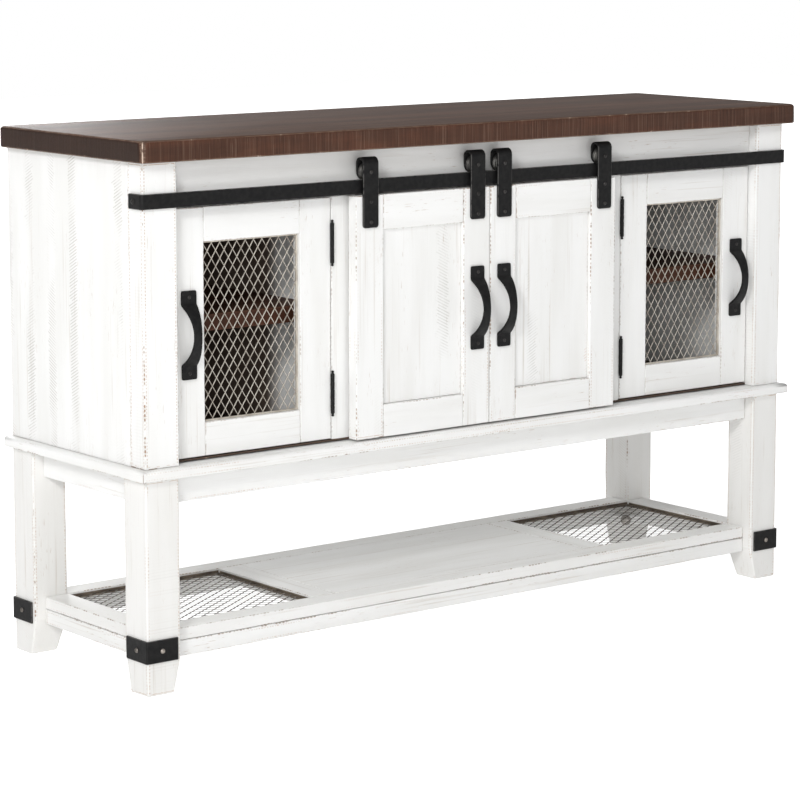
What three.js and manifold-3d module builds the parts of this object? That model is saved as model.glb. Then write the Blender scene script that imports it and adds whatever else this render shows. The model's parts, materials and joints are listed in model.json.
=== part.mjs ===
// Farmhouse sideboard buffet: a case with two sliding barn doors and two hinged mesh doors,
// on an open four-legged stand with a low shelf.
// Millimetres. X runs from left to right, -Y is the front, Z is up and the floor is z = 0.

import * as THREE from 'three';
import { mergeVertices } from 'three/addons/utils/BufferGeometryUtils.js';
import Module from 'manifold-3d';

const wasm = await Module();
wasm.setup();

// ---------------------------------------------------------------- driving dimensions

const HEIGHT = 965;
const BODY_WIDTH = 1530; // across the outer faces of the legs
const BODY_DEPTH = 440; // from the front faces of the legs to the back ones
const GAP = 0.3; // clearance between neighbouring pieces

const TOP = { thickness: 38, side: 16, front: 25, back: 5, corner: 14, edge: 4 };
const LEG = { width: 70, footHeight: 65, taper: 15, arris: 3 };
const POST = { width: 70, depth: 46 };
const BOARD = 22; // thickness of aprons, side panels, face frame and shelf boards
const RECESS = 22; // aprons and face frame stand this far behind the leg faces
const LEDGE = { overhang: 14, width: 74, round: 6, back: 4, arris: 1.5 };

const LEVEL = {
  lowerApron: 56,
  shelfUnder: 85,
  shelfTop: 107,
  upperApron: 330,
  ledge: 380,
  ledgeTop: 399,
  floorTop: 404,
  opening: 844,
  top: HEIGHT - TOP.thickness,
};

const SHELF_RAIL = 48; // width of the rails round the low shelf
const CROSS_X = 307; // half width of the shelf's centre panel, with its cross rails 53 wide
const CROSS_RAIL = 53;
const GRILLE = { thickness: 4, sink: 6, rim: 7, strand: 5, columns: 7, rows: 5 };
const BRACKET = { arm: 62, height: 40, low: 59, thickness: 3, bend: 4, screw: 3, screwRadius: 6 };

const STILE_INNER = 294; // the face stiles run from here to MESH_DOOR.hinge
const PARTITION = { x: 330, thickness: 20 };
const SHELF = { top: 646, thickness: 30, setBack: 73, slack: 1 };
const BACK_PANEL = { thickness: 8, inset: 6 };
const TRAY_RISE = 4; // how far the underside of the case floor stands above the ledge's

const MESH_DOOR = { hinge: 350, thickness: 20, gap: 2, stile: 68, railLow: 465, railHigh: 782, sink: 8 };
const MESH = { thickness: 2, rim: 5, strand: 5, columns: 5, rows: 6 };
const HINGE = { radius: 3.6, length: 84, offset: 3.9, centres: [760.5, 488.5] };
const HINGE_TIP = [[0, 0], [2.4, 1], [2.8, 3.5], [2, 5.5], [HINGE.radius, 6]]; // radius, distance in
const HINGE_LEAF = { thickness: 0.8, depth: 16, inset: 10, back: 10 };

const BARN_DOOR = { width: 311, thickness: 23, proud: 10, bottom: 403, middle: -6, gap: 2 };
const BARN_FRAME = { stile: 62, railLow: 462, railHigh: 781, frontSink: 8, backSink: 5 };
const HANDLE = { centre: 621.5, spacing: 130.5, pad: 25, width: 31, waist: 16, reach: 33, strap: 4.5 };

const TRACK = { low: 847, height: 26, thickness: 5, wrap: 35, bend: 4 };
const SPACER = { radius: 6, x: [-350, 0, 350] }; // hold the track off the header
const TRACK_SCREW = { radius: 5, height: 2.5, inset: 14 };
const WHEEL = { axle: 886, radius: 17, tread: 12.7, width: 13, groove: 6.2, bore: 4.4, axleRadius: 4 };
const HANGER = { width: 34, low: 786, high: 913, strap: 4, loop: 7.5, hook: 870, corner: 5 };
const BOLT = { radius: 6, height: 3, z: [833, 796] }; // hold the hangers to the barn doors

// ---------------------------------------------------------------- derived places

const FRONT_REACH = BARN_DOOR.proud + GAP + HANDLE.reach; // the handles stand this far out
const BACK_REACH = GAP + BRACKET.thickness + BRACKET.screw; // and the rear screws this far
const FRONT = (FRONT_REACH - BODY_DEPTH - BACK_REACH) / 2; // y of the legs' front faces
const BACK = FRONT + BODY_DEPTH;
const HALF = BODY_WIDTH / 2;
const LEG_IN = HALF - LEG.width; // x of the legs' inner faces
const FACE = FRONT + RECESS; // y of the face frame and of the mesh doors
const RAIL_Y = FRONT - GAP - TRACK.thickness / 2; // middle of the track's thickness
const BARN_FRONT = FRONT - BARN_DOOR.proud;

// ---------------------------------------------------------------- materials

const paint = (name, color, roughness, metalness) =>
  new THREE.MeshStandardMaterial({ name, color, roughness, metalness });

const WHITE = paint('white_paint', 0xe9e7e0, 0.75, 0);
const WALNUT = paint('walnut_stain', 0x3b241b, 0.55, 0);
const INSIDE = paint('dark_interior', 0x33251e, 0.8, 0);
const SHELF_WOOD = paint('shelf_wood', 0x6b4431, 0.7, 0);
const IRON = paint('black_iron', 0x1c1c1e, 0.6, 0.6);
const PALE_MESH = paint('pale_mesh', 0xcfc4b4, 0.5, 0.7);
const PEWTER = paint('pewter_grille', 0x8d8272, 0.5, 0.7);

// ---------------------------------------------------------------- building blocks

const parts = new THREE.Group();

function place(name, material, geometry, x = 0, y = 0, z = 0) {
  const mesh = new THREE.Mesh(geometry, material);
  mesh.name = name;
  mesh.position.set(x, y, z);
  parts.add(mesh);
}

// A plain board between two limits on each axis.
function board(name, material, [x0, x1], [y0, y1], [z0, z1]) {
  const geometry = new THREE.BoxGeometry(x1 - x0, y1 - y0, z1 - z0);
  place(name, material, geometry, (x0 + x1) / 2, (y0 + y1) / 2, (z0 + z1) / 2);
}

const ordered = (a, b) => (a < b ? [a, b] : [b, a]);

function polygon(points) {
  return new THREE.Shape(points.map(([x, y]) => new THREE.Vector2(x, y)));
}

function rectangle(width, height, radius) {
  const x = width / 2;
  const y = height / 2;
  const shape = new THREE.Shape();
  shape.moveTo(x, -y + radius);
  shape.lineTo(x, y - radius);
  shape.absarc(x - radius, y - radius, radius, 0, Math.PI / 2);
  shape.absarc(-x + radius, y - radius, radius, Math.PI / 2, Math.PI);
  shape.absarc(-x + radius, -y + radius, radius, Math.PI, Math.PI * 1.5);
  shape.absarc(x - radius, -y + radius, radius, Math.PI * 1.5, Math.PI * 2);
  return shape;
}

// Extrusions: an outline drawn in the plan rises along Z, one drawn as (x, z) runs along Y
// and one drawn as (y, z) runs along X. The last two are centred on their length.
const alongZ = (shape, depth, curveSegments = 4) =>
  new THREE.ExtrudeGeometry(shape, { depth, curveSegments, bevelEnabled: false });

const alongY = (shape, depth, curveSegments = 4) =>
  alongZ(shape, depth, curveSegments).translate(0, 0, -depth / 2).rotateX(Math.PI / 2);

const alongX = (shape, depth, curveSegments = 4) =>
  alongZ(shape, depth, curveSegments).translate(0, 0, -depth / 2)
    .applyMatrix4(new THREE.Matrix4().set(0, 0, 1, 0, 1, 0, 0, 0, 0, 1, 0, 0, 0, 0, 0, 1));

function solid(geometry) {
  const bare = geometry.clone();
  bare.deleteAttribute('normal');
  bare.deleteAttribute('uv');
  const merged = mergeVertices(bare, 1e-4);
  return new wasm.Manifold(new wasm.Mesh({
    numProp: 3,
    vertProperties: new Float32Array(merged.attributes.position.array),
    triVerts: new Uint32Array(merged.index.array),
  }));
}

function shell(manifold) {
  const mesh = manifold.getMesh();
  const geometry = new THREE.BufferGeometry();
  geometry.setAttribute('position', new THREE.BufferAttribute(mesh.vertProperties, 3));
  geometry.setIndex(new THREE.BufferAttribute(mesh.triVerts, 1));
  return geometry;
}

const join = (...pieces) => shell(pieces.map(solid).reduce((a, b) => a.add(b)));
const cut = (body, ...tools) => shell(tools.map(solid).reduce((a, b) => a.subtract(b), solid(body)));
const common = (a, b) => shell(solid(a).intersect(solid(b)));

const block = (w, d, h, x, y, z) => new THREE.BoxGeometry(w, d, h).translate(x, y, z);

// A cylinder along Y, and a domed screw head that faces -Y and has its flat side at the origin.
const rod = (radius, length, segments = 12) => new THREE.CylinderGeometry(radius, radius, length, segments);

function dome(radius, height, segments = 12) {
  const root = 0.6; // how deep the head is let into what it holds
  const shoulder = [0.6 * radius, -0.85 * height];
  const profile = [[0, -height], shoulder, [radius, -0.3 * height], [radius, root], [0, root]];
  return new THREE.LatheGeometry(profile.map(([r, y]) => new THREE.Vector2(r, y)), segments);
}

// ---------------------------------------------------------------- top

function topSlab() {
  const { thickness, side, front, back, corner, edge } = TOP;
  const width = BODY_WIDTH + 2 * side - 2 * edge;
  const depth = BODY_DEPTH + front + back - 2 * edge;
  const slab = new THREE.ExtrudeGeometry(rectangle(width, depth, corner - edge), {
    depth: thickness - 2 * edge,
    bevelSize: edge,
    bevelThickness: edge,
    bevelSegments: 2,
    curveSegments: 3,
  });
  place('top', WALNUT, slab, 0, (FRONT - front + BACK + back) / 2, LEVEL.top + edge);
}

// ---------------------------------------------------------------- case

function caseFrame() {
  const standing = [LEVEL.ledgeTop + GAP, LEVEL.top - GAP];
  for (const [name, s] of [['left', -1], ['right', 1]]) {
    const postX = ordered(s * HALF, s * LEG_IN);
    board(`post_${name}`, WHITE, postX, [FRONT, FRONT + POST.depth], standing);
    const panelX = ordered(s * HALF, s * (HALF - BOARD));
    board(`side_panel_${name}`, WHITE, panelX, [FRONT + POST.depth + GAP, BACK], standing);
    const stileX = ordered(s * STILE_INNER, s * (MESH_DOOR.hinge - MESH_DOOR.gap / 2));
    board(`face_stile_${name}`, WHITE, stileX, [FACE, FACE + BOARD], [LEVEL.floorTop, LEVEL.opening - GAP]);
    const half = PARTITION.thickness / 2;
    board(
      `partition_${name}`,
      WHITE,
      ordered(s * (PARTITION.x - half), s * (PARTITION.x + half)),
      [FACE + BOARD + GAP, BACK - BACK_PANEL.inset - BACK_PANEL.thickness - GAP],
      [LEVEL.floorTop, LEVEL.top - GAP],
    );
  }
  const headerX = [GAP - LEG_IN, LEG_IN - GAP];
  board('header', WHITE, headerX, [FACE, FACE + BOARD], [LEVEL.opening, LEVEL.top - GAP]);
  const backX = HALF - BOARD - GAP;
  const backY = BACK - BACK_PANEL.inset;
  const backZ = [LEVEL.floorTop, LEVEL.top - GAP];
  board('back_panel', INSIDE, [-backX, backX], [backY - BACK_PANEL.thickness, backY], backZ);
}

// The floor has a thin lip over the ledge and sits down between the ledge pieces.
function caseFloor() {
  const lipBack = BACK - BACK_PANEL.inset - GAP;
  const lipIn = LEG_IN - GAP;
  const lipOut = HALF - BOARD - GAP;
  const notch = FRONT + POST.depth + GAP;
  const plan = polygon([
    [-lipIn, FACE], [lipIn, FACE], [lipIn, notch], [lipOut, notch],
    [lipOut, lipBack], [-lipOut, lipBack], [-lipOut, notch], [-lipIn, notch],
  ]);
  const low = LEVEL.ledgeTop + GAP;
  const lip = alongZ(plan, LEVEL.floorTop - GAP - low).translate(0, 0, low);
  const inX = HALF + LEDGE.overhang - LEDGE.width - GAP;
  const y0 = FRONT - LEDGE.overhang + LEDGE.width + GAP;
  const y1 = BACK - RECESS - BOARD - GAP;
  const z0 = LEVEL.ledge + TRAY_RISE;
  const z1 = low + 1;
  const tray = block(2 * inX, y1 - y0, z1 - z0, 0, (y0 + y1) / 2, (z0 + z1) / 2);
  place('case_floor', INSIDE, join(lip, tray));
}

function shelves() {
  const back = BACK - BACK_PANEL.inset - BACK_PANEL.thickness - 2 * SHELF.slack;
  const y = [FRONT + SHELF.setBack, back];
  const z = [SHELF.top - SHELF.thickness, SHELF.top];
  const inner = PARTITION.x - PARTITION.thickness / 2 - SHELF.slack;
  const near = PARTITION.x + PARTITION.thickness / 2 + SHELF.slack;
  const far = HALF - BOARD - SHELF.slack;
  board('shelf_left', SHELF_WOOD, [-far, -near], y, z);
  board('shelf_centre', SHELF_WOOD, [-inner, inner], y, z);
  board('shelf_right', SHELF_WOOD, [near, far], y, z);
}

// The ledge's section as (y, z), where -y is the distance outward from the leg faces.
function ledgeSection() {
  const { overhang, width, round, arris } = LEDGE;
  const height = LEVEL.ledgeTop - LEVEL.ledge;
  const shape = new THREE.Shape();
  shape.moveTo(width - overhang, 0);
  shape.lineTo(arris - overhang, 0);
  shape.lineTo(-overhang, arris);
  shape.lineTo(-overhang, height - round);
  shape.absarc(round - overhang, height - round, round, Math.PI, Math.PI / 2, true);
  shape.lineTo(width - overhang, height);
  return shape;
}

// A ledge bar along X from start to end. A mitred end grows by one millimetre for each
// millimetre outward, and a square end stays where it is.
function ledgeBar(start, end, mitreStart, mitreEnd) {
  const bar = alongX(ledgeSection(), 1, 3);
  const p = bar.attributes.position;
  for (let i = 0; i < p.count; i += 1) {
    const out = -p.getY(i);
    p.setX(i, p.getX(i) < 0 ? start - (mitreStart ? out : 0) : end + (mitreEnd ? out : 0));
  }
  bar.computeVertexNormals();
  return bar;
}

function ledge() {
  const slack = GAP / 2;
  const side = ledgeBar(FRONT + slack, BACK + LEDGE.back, true, false);
  const mirrored = ledgeBar(-BACK - LEDGE.back, -FRONT - slack, false, true);
  place('ledge_front', WHITE, ledgeBar(-HALF + slack, HALF - slack, true, true), 0, FRONT, LEVEL.ledge);
  place('ledge_right', WHITE, side.rotateZ(Math.PI / 2), HALF, 0, LEVEL.ledge);
  place('ledge_left', WHITE, mirrored.rotateZ(-Math.PI / 2), -HALF, 0, LEVEL.ledge);
}

// ---------------------------------------------------------------- stand

// A square leg with broken arrises. The two faces that look inward slope in at the foot.
function leg(name, sx, sy) {
  const { width, footHeight, taper, arris } = LEG;
  const h = width / 2;
  const a = h - arris;
  const outline = polygon([[h, -a], [h, a], [a, h], [-a, h], [-h, a], [-h, -a], [-a, -h], [a, -h]]);
  const height = LEVEL.ledge - GAP;
  const geometry = new THREE.ExtrudeGeometry(outline, { depth: height, steps: 2, bevelEnabled: false });
  const p = geometry.attributes.position;
  for (let i = 0; i < p.count; i += 1) {
    if (p.getZ(i) < 1) {
      const inwardX = p.getX(i) * sx < 0 ? taper : 0;
      const inwardY = p.getY(i) * sy < 0 ? taper : 0;
      p.setX(i, p.getX(i) + sx * inwardX);
      p.setY(i, p.getY(i) + sy * inwardY);
    } else if (p.getZ(i) < height - 1) {
      p.setZ(i, footHeight);
    }
  }
  geometry.computeVertexNormals();
  const y = sy < 0 ? FRONT + h : BACK - h;
  place(`leg_${name}`, WHITE, geometry, sx * (HALF - h), y, 0);
}

// A steel angle round a leg's outer corner, with a domed screw in each arm.
function bracket(name, sx, sy) {
  const { arm, height, thickness: t, bend, screw, screwRadius } = BRACKET;
  const s = GAP;
  const o = s + t;
  const angle = new THREE.Shape();
  angle.moveTo(-arm, -s);
  angle.lineTo(-arm, -o);
  angle.lineTo(o - bend, -o);
  angle.absarc(o - bend, -o + bend, bend, -Math.PI / 2, 0);
  angle.lineTo(o, arm);
  angle.lineTo(s, arm);
  angle.lineTo(s, -s);
  const frontScrew = dome(screwRadius, screw).translate(-arm / 2, -o, height / 2);
  const sideScrew = dome(screwRadius, screw).rotateZ(Math.PI / 2).translate(o, arm / 2, height / 2);
  const geometry = join(alongZ(angle, height), frontScrew, sideScrew);
  const turn = { '1,-1': 0, '1,1': 1, '-1,1': 2, '-1,-1': 3 }[`${sx},${sy}`];
  geometry.rotateZ(turn * Math.PI / 2);
  place(`bracket_${name}`, IRON, geometry, sx * HALF, sy < 0 ? FRONT : BACK, BRACKET.low);
}

function legsAndBrackets() {
  for (const [row, sy] of [['front', -1], ['back', 1]]) {
    for (const [column, sx] of [['left', -1], ['right', 1]]) {
      leg(`${row}_${column}`, sx, sy);
      bracket(`${row}_${column}`, sx, sy);
    }
  }
}

function aprons() {
  const acrossX = [GAP - LEG_IN, LEG_IN - GAP];
  const acrossY = [FRONT + LEG.width + GAP, BACK - LEG.width - GAP];
  const side = HALF - RECESS;
  const low = LEVEL.upperApron;
  board('apron_front', WHITE, acrossX, [FACE, FACE + BOARD], [low, LEVEL.ledge - GAP]);
  board('apron_back', WHITE, acrossX, [BACK - RECESS - BOARD, BACK - RECESS], [low, LEVEL.ledgeTop]);
  board('apron_left', WHITE, [-side, BOARD - side], acrossY, [low, LEVEL.ledge - GAP]);
  board('apron_right', WHITE, [side - BOARD, side], acrossY, [low, LEVEL.ledge - GAP]);
}

// A low-shelf rail with its apron below: an angle as (inward, up), starting at its outer face.
function railSection(width) {
  const { lowerApron, shelfUnder, shelfTop } = LEVEL;
  return polygon([
    [0, lowerApron], [BOARD, lowerApron], [BOARD, shelfUnder],
    [width, shelfUnder], [width, shelfTop], [0, shelfTop],
  ]);
}

function lowShelf() {
  const reachX = 2 * (LEG_IN - GAP);
  const reachY = BODY_DEPTH - 2 * (LEG.width + GAP);
  const middle = (FRONT + BACK) / 2;
  const railX = alongX(railSection(SHELF_RAIL - GAP), reachX);
  const railY = alongX(railSection(SHELF_RAIL), reachY);
  place('shelf_rail_front', WHITE, railX, 0, FACE, 0);
  place('shelf_rail_back', WHITE, railX.clone().rotateZ(Math.PI), 0, BACK - RECESS, 0);
  place('shelf_rail_right', WHITE, railY.clone().rotateZ(Math.PI / 2), HALF - RECESS, middle, 0);
  place('shelf_rail_left', WHITE, railY.clone().rotateZ(-Math.PI / 2), RECESS - HALF, middle, 0);

  const z = [LEVEL.shelfUnder, LEVEL.shelfTop];
  const y = [middle - reachY / 2, middle + reachY / 2];
  const end = CROSS_X + CROSS_RAIL;
  board('low_shelf_panel', WHITE, [-end, end], y, z);

  const width = LEG_IN - end - 2 * GAP;
  const insert = grille(width, reachY, GRILLE);
  const top = LEVEL.shelfTop - GRILLE.sink;
  for (const [name, s] of [['left', -1], ['right', 1]]) {
    place(`grille_${name}`, PEWTER, insert.clone(), s * (LEG_IN + end) / 2, middle, top - GRILLE.thickness);
  }
}

// A flat sheet on z = 0, pierced by staggered diamonds inside a plain rim.
function grille(width, height, { thickness, rim, strand, columns, rows }) {
  const pitchX = (width - 2 * rim) / columns;
  const pitchY = (height - 2 * rim) / rows;
  const slope = Math.hypot(pitchX, pitchY);
  const rx = pitchX / 2 - (strand * slope) / (2 * pitchY);
  const ry = pitchY / 2 - (strand * slope) / (2 * pitchX);
  const diamond = alongZ(polygon([[rx, 0], [0, ry], [-rx, 0], [0, -ry]]), 3 * thickness);
  const holes = [];
  for (const shift of [0, 1]) {
    for (let i = 0; i < columns - shift; i += 1) {
      for (let j = 0; j < rows - shift; j += 1) {
        const x = (i + (1 + shift - columns) / 2) * pitchX;
        const y = (j + (1 + shift - rows) / 2) * pitchY;
        holes.push(diamond.clone().translate(x, y, -thickness));
      }
    }
  }
  return cut(block(width, height, thickness, 0, 0, thickness / 2), ...holes);
}

// ---------------------------------------------------------------- door furniture

// A flat bar bowed away from the door between two square pads, waisted in the middle.
// Its flat side is at y = 0 and it faces -Y, centred on the origin.
function bowHandle() {
  const { spacing, pad, width, waist, reach, strap } = HANDLE;
  const end = spacing / 2 + pad / 2;
  const foot = spacing / 2 - pad / 2;
  const bow = reach - strap;
  const radius = (foot * foot + bow * bow) / (2 * bow);
  const centre = radius - reach;
  const outerAngle = Math.asin(foot / radius);
  const innerFoot = Math.sqrt((radius - strap) ** 2 - centre ** 2);
  const innerAngle = Math.asin(innerFoot / (radius - strap));
  const side = new THREE.Shape();
  side.moveTo(0, -end);
  side.lineTo(0, -innerFoot);
  side.absarc(centre, 0, radius - strap, Math.PI + innerAngle, Math.PI - innerAngle, true);
  side.lineTo(0, end);
  side.lineTo(-strap, end);
  side.lineTo(-strap, foot);
  side.absarc(centre, 0, radius, Math.PI - outerAngle, Math.PI + outerAngle, false);
  side.lineTo(-strap, -end);
  const w = width / 2;
  const control = waist - w; // puts the waist of each curve half the waist from the middle
  const front = new THREE.Shape();
  front.moveTo(-w, -end);
  front.lineTo(w, -end);
  front.lineTo(w, -foot);
  front.quadraticCurveTo(control, 0, w, foot);
  front.lineTo(w, end);
  front.lineTo(-w, end);
  front.lineTo(-w, foot);
  front.quadraticCurveTo(-control, 0, -w, -foot);
  return common(alongX(side, width + 2, 8), alongY(front, 2 * reach + 2, 8));
}

// A strap bent over its roller like a hook. It is drawn as (y, z), with y = 0 at the middle
// of the roller, and it carries the roller's axle and the domed bolt heads.
function hangerStrap() {
  const { width, low, high, strap, loop, hook, corner } = HANGER;
  const outer = loop + strap;
  const crown = high - outer;
  const bent = new THREE.Shape();
  bent.moveTo(-outer, low);
  bent.lineTo(-loop, low);
  bent.lineTo(-loop, crown);
  bent.absarc(0, crown, loop, Math.PI, 0, true);
  bent.lineTo(loop, hook);
  bent.lineTo(outer, hook);
  bent.lineTo(outer, crown);
  bent.absarc(0, crown, outer, 0, Math.PI, false);
  const front = rectangle(width, high - low, corner);
  const outline = alongY(front, 3 * outer, 3).translate(0, 0, (high + low) / 2);
  const strapBody = common(alongX(bent, width + 2, 6), outline);
  const axle = rod(WHEEL.axleRadius, 2 * outer - 1).translate(0, 0, WHEEL.axle);
  const heads = [WHEEL.axle, ...BOLT.z].map((z) => dome(BOLT.radius, BOLT.height).translate(0, -outer, z));
  return join(strapBody, axle, ...heads);
}

// A roller with a grooved tread, its axis along Y.
function roller() {
  const { radius, tread, width, groove, bore } = WHEEL;
  const w = width / 2;
  const g = groove / 2;
  const profile = [
    [bore, -w], [radius - 1, -w], [radius, -w + 1], [radius, -g - 0.6], [tread, -g],
    [tread, g], [radius, g + 0.6], [radius, w - 1], [radius - 1, w], [bore, w], [bore, -w],
  ];
  return new THREE.LatheGeometry(profile.map(([r, y]) => new THREE.Vector2(r, y)), 20);
}

// A hinge barrel with turned tips, its axis along Z, and the leaf that lies in the door gap.
function hinge() {
  const end = HINGE.length / 2;
  const lower = HINGE_TIP.map(([r, inward]) => new THREE.Vector2(r, inward - end));
  const upper = HINGE_TIP.map(([r, inward]) => new THREE.Vector2(r, end - inward)).reverse();
  const barrel = new THREE.LatheGeometry([...lower, ...upper], 12);
  const { thickness, depth, inset, back } = HINGE_LEAF;
  const leaf = block(thickness, depth, HINGE.length - 2 * inset, 0, back, 0);
  return join(barrel.rotateX(Math.PI / 2), leaf);
}

// ---------------------------------------------------------------- doors and their track

// The flat bar runs across both posts and round the front corners, on three spacers.
function track() {
  const { low, height, thickness, wrap, bend } = TRACK;
  const x = HALF + GAP;
  const y = FRONT - GAP;
  const ox = x + thickness;
  const oy = y - thickness;
  const end = FRONT + wrap;
  const bar = new THREE.Shape();
  bar.moveTo(-ox, end);
  bar.lineTo(-ox, oy + bend);
  bar.absarc(bend - ox, oy + bend, bend, Math.PI, Math.PI * 1.5);
  bar.lineTo(ox - bend, oy);
  bar.absarc(ox - bend, oy + bend, bend, -Math.PI / 2, 0);
  bar.lineTo(ox, end);
  bar.lineTo(x, end);
  bar.lineTo(x, y);
  bar.lineTo(-x, y);
  bar.lineTo(-x, end);
  const middle = low + height / 2;
  const y0 = y - 1;
  const y1 = FACE - GAP;
  const spacers = SPACER.x.map((s) => {
    return rod(SPACER.radius, y1 - y0).translate(s, (y0 + y1) / 2, middle);
  });
  const screws = [-1, 1].map((s) => {
    const head = dome(TRACK_SCREW.radius, TRACK_SCREW.height).rotateZ((s * Math.PI) / 2);
    return head.translate(s * ox, end - TRACK_SCREW.inset, middle);
  });
  place('track', IRON, join(alongZ(bar, height).translate(0, 0, low), ...spacers, ...screws));
}

function barnDoor(name, x) {
  const { width, thickness, bottom } = BARN_DOOR;
  const { stile, railLow, railHigh, frontSink, backSink } = BARN_FRAME;
  const height = LEVEL.opening - bottom;
  const middle = (LEVEL.opening + bottom) / 2;
  const field = [width - 2 * stile, railHigh - railLow, (railHigh + railLow) / 2 - middle];
  const leaf = cut(
    block(width, thickness, height, 0, thickness / 2, 0),
    block(field[0], 2 * frontSink, field[1], 0, 0, field[2]),
    block(field[0], 2 * backSink, field[1], 0, thickness, field[2]),
  );
  place(`barn_door_${name}`, WHITE, leaf, x, BARN_FRONT, middle);
  const reach = width / 2 - stile / 2;
  const meeting = name === 'left' ? 1 : -1;
  place(`barn_handle_${name}`, IRON, bowHandle(), x + meeting * reach, BARN_FRONT - GAP, HANDLE.centre);
  for (const [end, s] of [['a', -1], ['b', 1]]) {
    place(`hanger_${name}_${end}`, IRON, hangerStrap(), x + s * reach, RAIL_Y, 0);
    place(`roller_${name}_${end}`, IRON, roller(), x + s * reach, RAIL_Y, WHEEL.axle);
  }
}

function meshDoor(name, s) {
  const { hinge: hingeX, thickness, gap, stile, railLow, railHigh, sink } = MESH_DOOR;
  const width = LEG_IN - hingeX - 1.5 * gap;
  const low = LEVEL.floorTop + gap;
  const high = LEVEL.opening - gap;
  const x = s * (hingeX + gap / 2 + width / 2);
  const middle = (low + high) / 2;
  const openWidth = width - 2 * stile;
  const openHeight = railHigh - railLow;
  const openMiddle = (railHigh + railLow) / 2;
  const frame = cut(
    block(width, thickness, high - low, 0, thickness / 2, 0),
    block(openWidth, 3 * thickness, openHeight, 0, 0, openMiddle - middle),
  );
  place(`mesh_door_${name}`, WHITE, frame, x, FACE, middle);
  const sheet = grille(openWidth - 2 * GAP, openHeight - 2 * GAP, MESH);
  sheet.rotateX(Math.PI / 2);
  place(`mesh_${name}`, PALE_MESH, sheet, x, FACE + sink + MESH.thickness, openMiddle);
  place(`mesh_handle_${name}`, IRON, bowHandle(), x + s * (width - stile) / 2, FACE - GAP, HANDLE.centre);
  for (const [i, z] of HINGE.centres.entries()) {
    place(`hinge_${name}_${'ab'[i]}`, IRON, hinge(), s * hingeX, FACE - HINGE.offset, z);
  }
}

// ---------------------------------------------------------------- assembly

topSlab();
caseFrame();
caseFloor();
shelves();
ledge();
legsAndBrackets();
aprons();
lowShelf();
track();
for (const [name, s] of [['left', -1], ['right', 1]]) {
  barnDoor(name, BARN_DOOR.middle + s * (BARN_DOOR.gap + BARN_DOOR.width) / 2);
  meshDoor(name, s);
}

export default parts;
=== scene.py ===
"""Farmhouse sideboard buffet: its looks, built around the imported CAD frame.

Every piece takes its place from the box of a CAD node. Metres, X to the right, -Y is the front, Z up.
"""
import json
import math
import random

import bmesh
import bpy
from mathutils import Matrix, Vector, noise


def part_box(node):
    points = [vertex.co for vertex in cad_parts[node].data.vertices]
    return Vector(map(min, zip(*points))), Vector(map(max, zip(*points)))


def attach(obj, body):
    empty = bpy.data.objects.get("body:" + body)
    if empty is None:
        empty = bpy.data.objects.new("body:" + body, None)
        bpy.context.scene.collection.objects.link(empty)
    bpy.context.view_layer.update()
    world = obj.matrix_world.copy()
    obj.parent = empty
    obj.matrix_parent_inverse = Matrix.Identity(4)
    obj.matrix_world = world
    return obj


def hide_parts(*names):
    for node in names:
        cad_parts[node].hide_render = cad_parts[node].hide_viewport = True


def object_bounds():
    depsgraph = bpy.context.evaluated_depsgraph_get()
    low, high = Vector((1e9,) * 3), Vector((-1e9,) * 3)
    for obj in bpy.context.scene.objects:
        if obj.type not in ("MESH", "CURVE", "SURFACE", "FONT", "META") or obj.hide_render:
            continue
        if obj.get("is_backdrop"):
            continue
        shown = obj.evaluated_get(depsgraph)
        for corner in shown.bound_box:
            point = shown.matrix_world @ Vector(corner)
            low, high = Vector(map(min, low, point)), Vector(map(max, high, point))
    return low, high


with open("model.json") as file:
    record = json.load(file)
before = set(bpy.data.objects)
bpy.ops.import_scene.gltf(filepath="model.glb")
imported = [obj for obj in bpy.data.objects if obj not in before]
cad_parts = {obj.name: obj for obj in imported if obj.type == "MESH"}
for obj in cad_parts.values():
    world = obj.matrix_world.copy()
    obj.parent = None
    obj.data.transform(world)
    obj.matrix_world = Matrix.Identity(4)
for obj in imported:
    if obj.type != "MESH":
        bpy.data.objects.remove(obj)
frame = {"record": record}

CAD_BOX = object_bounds()
noise.seed_set(1)  # without it the forged handles would come out differently every time
MM = 0.001
BODY_OF = {
    node: body
    for body, nodes in frame["record"]["behaviour"]["bodies"].items()
    for node in nodes
}
AXES = {"x": (0, 1, 2), "y": (1, 0, 2), "z": (2, 0, 1)}  # grain, then width and thickness

# ---- sizes not held by a CAD box

BOARD = 22 * MM  # thickness of the boards under the low shelf's rails
STRAP = 4 * MM  # thickness of a hanger's strap
LOOP = 7.5 * MM  # inner radius of its loop
HANGER_WIDTH = 34 * MM
HANDLE_STRAP = 4.5 * MM
HANDLE_WAIST = 16 * MM
HANDLE_PAD = 25 * MM
TRACK_THICKNESS = 5 * MM
BRACKET_THICKNESS = 3 * MM
CELL_SHORT = 18 * MM  # the expanded metal's diamonds
CELL_LONG = 28 * MM
SEAM = 0.5 * MM  # half of the joint line between two boards
PLANK = 118 * MM  # width of the planks in a stained top
SAW_STRIP = 73 * MM  # width of a strip of paint with one band of saw teeth
SAW_SLANT = 36 * MM  # how far a tooth leans along the grain over that width
SAW_PITCH = 5.6 * MM  # from tooth to tooth
DOT_PITCH = 5.8 * MM  # from dot to dot in a dotted line of wear
DOT_INSET = 4.2 * MM  # from that line to the edge
CHIP_PITCH = 7.8 * MM  # the worn notches along a bare edge
STAIN_SHADE_FADE = 60 * MM  # how far the paint takes to give way to the dark stain, which is also painted shade deep in the case


# ---- shader graphs

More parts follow.
